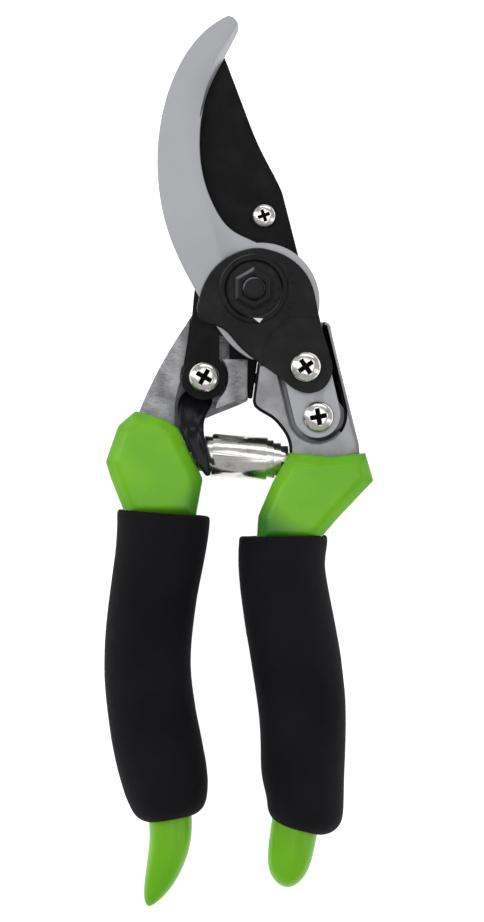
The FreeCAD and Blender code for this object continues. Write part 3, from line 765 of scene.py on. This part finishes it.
@dataclass
class PanScrew:
    """Pan head screw with a tapered cross recess."""

    name: str
    body: Body
    at: Point
    seat: float
    foot: float
    head_r: float = 3.8
    head_h: float = 2.4
    shank_r: float = 2.0
    turn: float = 0.0

    def build(self, finish: bpy.types.Material, painted_shade: bpy.types.Material) -> bpy.types.Object:
        """Models head, shank and recess and dresses the screw, its recess in painted shade."""
        r, h = self.head_r, self.head_h
        shape = Shape(self.name + "_pan").disc(self.at, self.foot, self.shank_r - 0.4)
        for z, radius in ((self.foot + 0.4, self.shank_r), (self.seat - 0.1, self.shank_r),
                          (self.seat, self.shank_r + 0.1), (self.seat, r - 0.25), (self.seat + 0.12 * h, r),
                          (self.seat + 0.38 * h, r), (self.seat + 0.62 * h, 0.93 * r),
                          (self.seat + 0.82 * h, 0.78 * r), (self.seat + 0.95 * h, 0.52 * r),
                          (self.seat + h, 0.22 * r)):
            shape.rise(z, radius)
        piece = shape.close_both().leave()
        for quarter in (0.0, 90.0):
            combine(piece, self._arm(self.turn + quarter), "DIFFERENCE")
        soften(piece, 0.10, 2, 40.0)
        shade(piece, 50.0)
        dress(piece, finish)
        piece.data.materials.append(painted_shade)
        # painted shade: faces inside the cross recess take the dark second material
        for face in piece.data.polygons:
            middle = Vector(face.center) / MM
            inside = math.hypot(middle.x - self.at[0], middle.y - self.at[1]) < 0.72 * r
            if inside and self.seat + 0.2 * h < middle.z < self.seat + 0.86 * h:
                face.material_index = 1
        fit_out(piece, self.body, self.name)
        return piece

    def _arm(self, turn: float) -> bpy.types.Object:
        """One arm of the cross recess, narrower and shorter towards its floor."""
        top, floor = self.seat + self.head_h + 0.6, self.seat + 0.25 * self.head_h
        half_l, half_w = 0.66 * self.head_r, 0.17 * self.head_r
        arm = Shape(self.name + "_arm").outline([(-half_l, -half_w), (half_l, -half_w), (half_l, half_w),
                                                 (-half_l, half_w)], floor, top)
        arm.pick_corners(lambda p: p.z < floor + 0.01)
        arm.centre = Vector((0.0, 0.0, floor))
        arm._scale(0.45, 0.6, 1.0)
        bpy.ops.mesh.select_all(action="SELECT")
        arm.centre = Vector((0.0, 0.0, 0.0))
        arm._rotate(turn)
        arm.move(self.at[0], self.at[1], 0.0)
        return arm.leave()


@dataclass
class PressedRing:
    """Low collar pressed into the lock plate round the nut."""

    name: str = "plate_collar"
    seat: float = 17.55
    high: float = 18.0
    outer: float = 8.7
    inner: float = 6.7

    def build(self, finish: bpy.types.Material) -> bpy.types.Object:
        """Models the collar and dresses it."""
        shape = Shape(self.name).disc((0.0, 0.0), self.seat, self.inner, 64)
        for z, radius in ((self.high - 0.1, self.inner + 0.2), (self.high, self.inner + 0.6),
                          (self.high, self.outer - 0.8), (self.high - 0.2, self.outer - 0.3),
                          (self.seat, self.outer), (self.seat, self.inner)):
            shape.rise(z, radius)
        piece = shade(shape.leave(), 50.0)
        dress(piece, finish)
        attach(piece, Body.RIGHT.value)
        return piece


@dataclass
class Pointer:
    """Small painted triangle that points at the marks of the lock plate."""

    name: str = "plate_pointer"
    corners: tuple[Point, ...] = ((-0.2, -7.0), (2.2, -7.1), (1.3, -8.2))
    low: float = 17.8
    high: float = 18.1

    def build(self, finish: bpy.types.Material) -> bpy.types.Object:
        """Models the triangle and dresses it."""
        piece = shade(Shape(self.name).outline(self.corners, self.low, self.high).leave())
        dress(piece, finish)
        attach(piece, Body.RIGHT.value)
        return piece


@dataclass
class HexNut:
    """Hex nut with a sloped top and a sunk ring round the bolt's end; radii are to the corners."""

    name: str = "nut"
    low: float = 18.4
    high: float = 22.0
    corner: float = 5.2
    top: float = 4.4
    sunk: float = 3.9
    bore: float = 3.3

    def build(self, finish: bpy.types.Material) -> bpy.types.Object:
        """Models the nut as one closed ring and dresses it."""
        shape = Shape(self.name).disc((0.0, 0.0), self.low, self.bore, 6)
        for z, radius in ((self.low, self.corner), (self.high - 0.6, self.corner), (self.high, self.top),
                          (self.high, self.sunk), (self.high - 0.7, self.sunk), (self.high - 0.7, self.bore),
                          (self.low, self.bore)):
            shape.rise(z, radius)
        piece = shade(shape.leave(), 20.0)
        dress(piece, finish)
        fit_out(piece, Body.LEFT, "pivot_nut")
        return piece


@dataclass
class ThumbCatch:
    """Catch lever: a flat eye with its nose, and a channelled thumb tab that climbs over the spring."""

    name: str = "catch"
    at: Point = (-12.1, -21.2)
    low: float = 6.2
    high: float = 8.65
    eye_r: float = 4.6
    bore_r: float = 3.5
    tab: list[tuple[float, float, float, float, float, float]] = field(default_factory=lambda: [
        # X, Y, Z of the middle, half width, half thickness, turn
        (-13.4, -24.0, 7.5, 2.6, 1.1, 0.0), (-13.8, -25.6, 8.0, 4.0, 1.2, -4.0),
        (-14.5, -28.3, 10.6, 4.3, 1.3, -2.0), (-15.1, -31.0, 13.6, 3.3, 1.35, 4.0),
        (-15.0, -33.6, 16.3, 2.85, 1.15, 12.0), (-14.2, -36.6, 17.4, 2.35, 0.85, 20.0),
        (-13.1, -39.6, 17.5, 1.85, 0.75, 23.0), (-12.0, -42.4, 17.4, 1.35, 0.7, 21.0),
        (-11.3, -44.4, 17.35, 0.95, 0.6, 18.0), (-11.0, -45.2, 17.3, 0.5, 0.4, 16.0)])

    def build(self, finish: bpy.types.Material) -> bpy.types.Object:
        """Models eye, nose and tab, joins them and dresses the catch."""
        x, y, z, w, t, turn = self.tab[0]
        shape = Shape(self.name).ring((x, y, z), w, t, 20, turn)
        for x, y, z, w, t, turn in self.tab[1:]:
            shape.to((x, y, z), w, t, turn)
        shape.close_both()
        for x, y, z, w, t, turn in self.tab[2:7]:
            self._dent(shape, Vector((x, y, z)), w, turn)
        piece = subdivide(shape.leave(), 2)
        eye = Shape(self.name + "_eye").disc(self.at, self.low, self.eye_r).rise(self.high, self.eye_r)
        combine(piece, soften(eye.close_both().leave(), 0.3))
        nose = Shape(self.name + "_nose").outline([
            (self.at[0], -22.7), (3.0, -22.7), (3.0, -18.1), (1.0, -18.1), (1.0, -20.2), (self.at[0], -20.2)],
            self.low, self.high)
        combine(piece, soften(nose.leave(), 0.3))
        bore = Shape(self.name + "_bore").disc(self.at, self.low - 2.0, self.bore_r).rise(self.high + 8.0, self.bore_r)
        combine(piece, bore.close_both().leave(), "DIFFERENCE")
        shade(piece, 45.0)
        dress(piece, finish)
        fit_out(piece, Body.CATCH, "thumb_catch")
        return piece

    @staticmethod
    def _dent(shape: Shape, middle: Vector, width: float, turn: float) -> None:
        """Presses the middle of the tab's front down between its two rims."""
        lean = math.radians(turn)

        def near_middle(p: Vector) -> bool:
            """Whether a corner lies on the front, near the tab's centre line."""
            across = (p.x - middle.x) * math.cos(lean) + (p.y - middle.y) * math.sin(lean)
            along = -(p.x - middle.x) * math.sin(lean) + (p.y - middle.y) * math.cos(lean)
            return abs(along) < 0.3 and -0.62 * width < across < 0.35 * width and p.z > middle.z

        shape.pick_corners(near_middle).move(0.0, 0.0, -0.6)


@dataclass
class VoluteSpring:
    """Ribbon wound so that its wraps step down from the middle to both ends."""

    name: str = "volute"
    start: tuple[float, float, float] = (-15.4, -39.7, 10.7)
    end: tuple[float, float, float] = (8.4, -41.5, 10.7)
    radius: float = 5.2
    step_r: float = 0.6
    step_l: float = 1.8
    wraps: int = 3
    ribbon: float = 0.42
    per_turn: int = 32

    def build(self, finish: bpy.types.Material) -> bpy.types.Object:
        """Winds the ribbon along X, sets it between its two seats and dresses it."""
        reach = (Vector(self.end) - Vector(self.start)).length / 2
        turns = 0.5 + self.wraps
        steps = int(2 * turns * self.per_turn)
        left, right, radius = self._edges(-turns, reach)
        bpy.ops.object.select_all(action="DESELECT")
        bpy.ops.mesh.primitive_plane_add(size=MM, rotation=(math.pi / 2, 0.0, 0.0))
        shape = Shape(self.name)
        shape._start()
        shape._scale(right - left, 1.0, self.ribbon)
        shape.move((left + right) / 2, 0.0, radius)
        for i in range(1, steps + 1):
            before = (left, right, radius)
            left, right, radius = self._edges(-turns + 2 * turns * i / steps, reach)
            shape.centre = Vector(((before[0] + before[1]) / 2, 0.0, 0.0))
            bpy.ops.mesh.extrude_region_move(TRANSFORM_OT_translate={"value": (0.0, 0.0, 0.0)})
            shape._scale((right - left) / (before[1] - before[0]), 1.0, 1.0)
            shape.centre = Vector((0.0, 0.0, 0.0))
            shape._rotate(360.0 * 2 * turns / steps, "X")
            shape._scale(1.0, radius / before[2], radius / before[2])
            shape.move((left + right - before[0] - before[1]) / 2, 0.0, 0.0)
        piece = soften(shape.leave(), 0.09, 2, 40.0)
        shade(piece, 45.0)
        self._seat(piece)
        dress(piece, finish)
        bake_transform(piece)
        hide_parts("volute_spring")
        LOG.info("%s bends between both handles", piece.name)
        return piece

    def _edges(self, turn: float, reach: float) -> tuple[float, float, float]:
        """Left edge, right edge and middle radius of the ribbon at a turn counted from the middle."""
        past = max(0.0, abs(turn) - 0.5)
        outer = reach - self.step_l * (self.wraps - past)
        settled = min(1.0, past / 0.4)
        inner = outer * (1.0 - settled) - 0.4 * settled
        radius = self.radius - self.ribbon / 2 - self.step_r * past
        if turn < 0:
            return -outer, inner, radius
        return -inner, outer, radius

    def _seat(self, piece: bpy.types.Object) -> None:
        """Turns the wound ribbon into the line between its seats and applies that."""
        run = Vector(self.end) - Vector(self.start)
        only(piece)
        piece.rotation_euler = (0.0, 0.0, math.atan2(run.y, run.x))
        piece.location = (Vector(self.start) + Vector(self.end)) / 2 * MM
        bpy.ops.object.transform_apply(location=True, rotation=True, scale=True)


@dataclass
class Reworked:
    """A copy of a node's own mesh, merged, with its edges softened."""

    node: str
    body: Body
    slot: str
    edge: float = 0.25
    segments: int = 2
    angle: float = 35.0
    rim: float = 0.0
    rim_z: float = 15.75

    def _slope_rim(self, piece: bpy.types.Object) -> None:
        """Slopes the border of the front faces down to the sides."""
        only(piece)
        bpy.ops.object.mode_set(mode="EDIT")
        bpy.ops.mesh.select_mode(type="FACE")
        bpy.ops.mesh.select_all(action="DESELECT")
        bpy.ops.object.mode_set(mode="OBJECT")
        for face in piece.data.polygons:
            face.select = face.normal.z > 0.99 and abs(face.center.z / MM - self.rim_z) < 0.02
        bpy.ops.object.mode_set(mode="EDIT")
        bpy.ops.transform.translate(value=(0.0, 0.0, -0.7 * self.rim * MM))
        bpy.ops.mesh.inset(thickness=self.rim * MM, depth=0.7 * self.rim * MM, use_boundary=True)
        bpy.ops.object.mode_set(mode="OBJECT")

    def _paint_rim_shade(self, piece: bpy.types.Object, shadow: bpy.types.Material) -> None:
        """Gives the sloped rim that faces down and to the left a dark material as painted shade."""
        piece.data.materials.append(shadow)
        low = self.rim_z - 0.75 * self.rim
        for face in piece.data.polygons:
            slope = -0.75 * face.normal.x - 0.66 * face.normal.y
            if 0.3 < face.normal.z < 0.97 and face.center.z / MM > low and slope > 0.1:
                face.material_index = 1

    def mesh(self, nodes: dict[str, bpy.types.Object]) -> bpy.types.Object:
        """Copies and merges the node's mesh.

        Args:
            nodes: the frame's nodes by name.

        Returns:
            The merged copy.
        """
        piece = bpy.data.objects.new(self.node + "_soft", nodes[self.node].data.copy())
        bpy.context.collection.objects.link(piece)
        only(piece)
        bpy.ops.object.mode_set(mode="EDIT")
        bpy.ops.mesh.select_all(action="SELECT")
        bpy.ops.mesh.remove_doubles(threshold=0.002 * MM)
        bpy.ops.mesh.dissolve_limited(angle_limit=math.radians(0.6))
        bpy.ops.mesh.normals_make_consistent(inside=False)
        bpy.ops.object.mode_set(mode="OBJECT")
        return piece

    def build(self, nodes: dict[str, bpy.types.Object], finish: bpy.types.Material,
              shadow: bpy.types.Material | None = None) -> bpy.types.Object:
        """Softens the copy's edges, dresses it and puts it in the node's place.

        Args:
            nodes: the frame's nodes by name.
            finish: the main material.
            shadow: material of the rim's shaded side, when the piece has a sloped rim.

        Returns:
            The finished piece.
        """
        piece = self.mesh(nodes)
        if self.rim:
            self._slope_rim(piece)
            shade(piece, 25.0)
            dress(piece, finish)
            self._paint_rim_shade(piece, shadow)
            fit_out(piece, self.body, self.node)
            return piece
        if self.edge:
            soften(piece, self.edge, self.segments, self.angle)
        shade(piece, self.angle)
        dress(piece, finish)
        fit_out(piece, self.body, self.node)
        return piece


# ---------------------------------------------------------------- the scene round the object

@dataclass
class Studio:
    """Pale floor, soft light and the overhead camera."""

    floor_z: float = -0.4
    lens: float = 200.0
    sensor: float = 36.0

    def build(self) -> None:
        """Sets up floor, lights and camera."""
        self._floor()
        self._world()
        self._light("overhead", (60.0, 80.0, 1500.0), 1100.0, 1100.0, 1.15)
        self._light("left_strip", (-620.0, 160.0, 520.0), 260.0, 900.0, 2.6)
        self._light("top_strip", (120.0, 760.0, 560.0), 900.0, 240.0, 2.2)
        self._light("right_fill", (640.0, -260.0, 420.0), 200.0, 700.0, 1.2)
        self._camera()

    def _floor(self) -> None:
        """A plain pale floor."""
        bpy.ops.object.select_all(action="DESELECT")
        bpy.ops.mesh.primitive_plane_add(size=4.0, location=(0.0, 0.0, self.floor_z * MM))
        floor = bpy.context.active_object
        floor.name = "floor"
        bpy.ops.object.transform_apply(location=True)
        g = Graph("pale_floor")
        speck = g.noise(40.0, 2.0)
        g.set(Base_Color=g.blend(speck, (0.90, 0.90, 0.90), (0.93, 0.93, 0.93)), Roughness=0.9,
              Emission_Color=(1.0, 1.0, 1.0), Emission_Strength=0.8)
        dress(floor, g.material)

    @staticmethod
    def _world() -> None:
        """Even pale surroundings."""
        world = bpy.data.worlds.new("studio")
        world.use_nodes = True
        background = world.node_tree.nodes["Background"]
        background.inputs["Color"].default_value = (1.0, 1.0, 1.0, 1.0)
        background.inputs["Strength"].default_value = 0.45
        bpy.context.scene.world = world
        bpy.context.scene.view_settings.view_transform = "Standard"

    @staticmethod
    def _light(name: str, place: Sequence[float], width: float, height: float, radiance: float) -> None:
        """One soft box of a given brightness, aimed at the middle of the pruner."""
        data = bpy.data.lights.new(name, "AREA")
        data.shape = "RECTANGLE"
        data.size, data.size_y = width * MM, height * MM
        data.energy = radiance * math.pi * data.size * data.size_y
        lamp = bpy.data.objects.new(name, data)
        lamp.location = Vector(place) * MM
        aim = Vector((VIEW_CENTRE.x, VIEW_CENTRE.y, 0.0)) - Vector(place)
        lamp.rotation_euler = aim.to_track_quat("-Z", "Y").to_euler()
        bpy.context.collection.objects.link(lamp)

    def _camera(self) -> None:
        """Long lens, straight overhead."""
        data = bpy.data.cameras.new("camera")
        data.lens = self.lens
        data.sensor_fit = "VERTICAL"
        data.sensor_height = self.sensor
        data.clip_end = 20.0
        camera = bpy.data.objects.new("camera", data)
        away = VIEW_HEIGHT * self.lens / self.sensor
        camera.location = (VIEW_CENTRE + Vector((0.0, 0.0, away))) * MM
        bpy.context.collection.objects.link(camera)
        bpy.context.scene.camera = camera


# ---------------------------------------------------------------- the object

LEFT_BAR: list[Station] = [
    (-51.0, -22.4, 6.8, 5.6, 0.0), (-60.0, -22.4, 6.6, 6.2, 0.0), (-90.0, -25.9, 6.2, 6.2, 0.0),
    (-118.0, -21.8, 5.9, 5.8, 0.0), (-130.0, -19.8, 5.3, 5.1, 0.0), (-137.0, -20.7, 5.1, 4.6, 0.0),
    (-143.0, -22.5, 4.2, 3.9, 0.0), (-147.0, -24.1, 2.9, 2.7, 0.0), (-149.2, -25.2, 1.4, 1.4, 0.0),
    (-149.9, -25.5, 0.5, 0.5, 0.0),
]
RIGHT_BAR: list[Station] = [
    (-56.0, 8.6, 6.4, 5.6, 0.0), (-62.0, 7.6, 6.6, 6.2, 0.0), (-75.0, 7.4, 6.3, 6.2, 0.0),
    (-100.0, 11.3, 6.2, 6.1, 0.0), (-122.0, 11.2, 6.0, 5.8, 0.0), (-131.0, 9.8, 5.9, 5.4, 0.0),
    (-138.0, 8.7, 5.8, 5.0, 0.0), (-142.3, 8.3, 4.6, 4.1, 0.0), (-144.6, 8.2, 2.4, 2.2, 0.0),
    (-145.3, 8.2, 0.7, 0.7, 0.0),
]


def handles(foam: bpy.types.Material) -> None:
    """Grips and dipped coats of both handles."""
    Grip("left_foam_grip", "left_grip", Body.LEFT, [
        (-54.1, -21.9, 11.45, 11.4, -4.5), (-58.0, -22.1, 11.3, 11.4, -6.0), (-63.5, -22.65, 11.0, 11.4, -7.0),
        (-71.5, -24.05, 10.7, 11.4, -8.0), (-80.0, -25.3, 10.65, 11.4, -6.0), (-88.0, -25.95, 10.6, 11.4, -2.0),
        (-95.0, -25.8, 10.65, 11.4, 3.0), (-103.0, -24.85, 10.85, 11.4, 8.0),
        (-111.5, -23.25, 10.95, 11.4, 10.0), (-119.5, -21.5, 10.7, 11.3, 10.0),
        (-128.6, -20.0, 9.9, 10.8, 9.5)],
        [(-56.0, -22.0, 8.5, 8.2, -4.5), (-58.5, -22.2, 7.2, 6.9, 0.0), (-90.0, -25.9, 6.5, 6.5, 0.0),
         (-118.0, -21.8, 6.2, 6.1, 0.0), (-126.5, -20.4, 5.9, 5.8, 9.5)]).build(foam)
    Grip("right_foam_grip", "right_grip", Body.RIGHT, [
        (-59.7, 7.1, 10.85, 11.4, 1.0), (-62.6, 7.0, 10.85, 11.4, 1.5), (-67.6, 6.6, 10.5, 11.4, 3.0),
        (-74.1, 7.5, 10.75, 11.4, 8.0), (-81.9, 8.9, 10.95, 11.4, 9.0), (-89.1, 10.15, 11.0, 11.4, 8.0),
        (-96.2, 11.2, 10.9, 11.4, 6.0), (-104.1, 11.9, 10.65, 11.4, 2.0), (-111.2, 11.95, 10.4, 11.4, -2.0),
        (-119.0, 11.7, 10.3, 11.3, -7.0), (-131.2, 11.1, 9.8, 10.8, -15.0)],
        [(-62.0, 7.8, 8.2, 8.0, 1.0), (-64.5, 7.6, 7.2, 6.8, 0.0), (-80.0, 8.2, 6.5, 6.5, 0.0),
         (-100.0, 11.3, 6.5, 6.4, 0.0), (-122.0, 11.2, 6.3, 6.1, 0.0), (-128.8, 10.4, 6.4, 6.0, -15.0)]).build(foam)
    DippedHandle("left_dip", "left_handle_dip", Body.LEFT, [
        (-28.7, -29.4), (-32.9, -33.0), (-36.0, -41.8), (-34.5, -46.4), (-30.8, -55.6), (-14.2, -55.6),
        (-12.4, -46.0), (-18.4, -33.6), (-22.0, -31.4)], LEFT_BAR).build(
            GreenDip("green_left", (-24.6, -42.4, 17.0), (13.4, 15.5, 30.0)).build())
    DippedHandle("right_dip", "right_handle_dip", Body.RIGHT, [
        (8.7, -39.5), (4.4, -47.0), (1.0, -54.9), (0.6, -61.7), (15.0, -61.7), (20.4, -55.4),
        (29.0, -46.4), (27.0, -39.6), (18.5, -40.6)], RIGHT_BAR).build(
            GreenDip("green_right", (16.5, -48.5, 17.0), (16.0, 13.5, 30.0)).build())


def head(nodes: dict[str, bpy.types.Object]) -> None:
    """Jaws, castings, pivot, catch, spring and screws."""
    coat = BlackCoat().build()
    # painted highlight on the nut's black, on slopes facing up and to the left
    nut_black = BlackCoat("black_nut", rough=0.3, shine=0.16, painted_highlight_strength=0.9).build()
    # this dark rubber is painted shade in the screw recesses and on the right casting's shaded rim
    painted_shade = DarkRubber("recess_painted_shade").build()
    screw = BrightSteel("screw_steel", rough=0.12, size=1.6).build()
    spring = BrightSteel("spring_steel").build()
    Reworked("hook_jaw", Body.RIGHT, "satin_steel", 0.35).build(nodes, SatinSteel().build())
    Reworked("cutting_blade", Body.LEFT, "black_coated_steel", 0.2).build(nodes, coat)
    # painted highlight on the plate's black, on slopes facing up and to the left
    plate_black = BlackCoat("black_plate", base=(0.0040, 0.0040, 0.0046), worn=(0.0120, 0.0120, 0.0130), rough=0.34,
                            shine=0.14, painted_highlight_strength=0.6).build()
    PressedRing().build(plate_black)
    Pointer().build(WhitePaint().build())
    # painted shade on both castings: faces turned down and to the left go near black, on the left casting only the
    # steepest of them
    Reworked("left_handle_core", Body.LEFT, "casting", 0.3).build(
        nodes, CastAluminium("rough_casting", (0.42, 0.42, 0.43), (0.12, 0.12, 0.13), 0.16, 1.2,
                             shade_paint_from=0.9).build())
    Reworked("right_handle_core", Body.RIGHT, "casting", rim=0.7).build(
        nodes, CastAluminium().build(), painted_shade)
    Reworked("stop_bumper", Body.LEFT, "bumper_rubber", 0.25).build(nodes, DarkRubber().build())
    HexNut().build(nut_black)
    Reworked("pivot_bolt", Body.LEFT, "black_steel", 0.15).build(nodes, nut_black)
    ThumbCatch().build(GlossBlack().build())
    VoluteSpring().build(spring)
    for made in (PanScrew("blade_screw", Body.LEFT, (2.4, 18.0), 11.7, 3.2, 2.9, 1.6, 1.7, 20.0),
                 PanScrew("catch_screw", Body.LEFT, (-12.1, -21.2), 11.7, 3.2, turn=60.0),
                 PanScrew("plate_screw", Body.RIGHT, (12.5, -18.8), 17.25, 6.7, turn=35.0),
                 PanScrew("tang_screw", Body.RIGHT, (15.6, -30.9), 15.75, 6.7, turn=10.0)):
        made.build(screw, painted_shade)
    for name, finish in (("lock_plate", plate_black), ("pivot_bushing", TurnedBrass().build()),
                         ("tension_washer", nut_black),
                         ("left_spring_pin", spring), ("right_spring_pin", spring)):
        dress(nodes[name], finish)


def main() -> None:
    """Builds every piece round the frame."""
    logging.basicConfig(level=logging.INFO, format="%(name)s: %(message)s")
    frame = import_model()
    handles(BlackFoam().build())
    head(frame["nodes"])
    Studio().build()


if __name__ == "__main__":
    main()
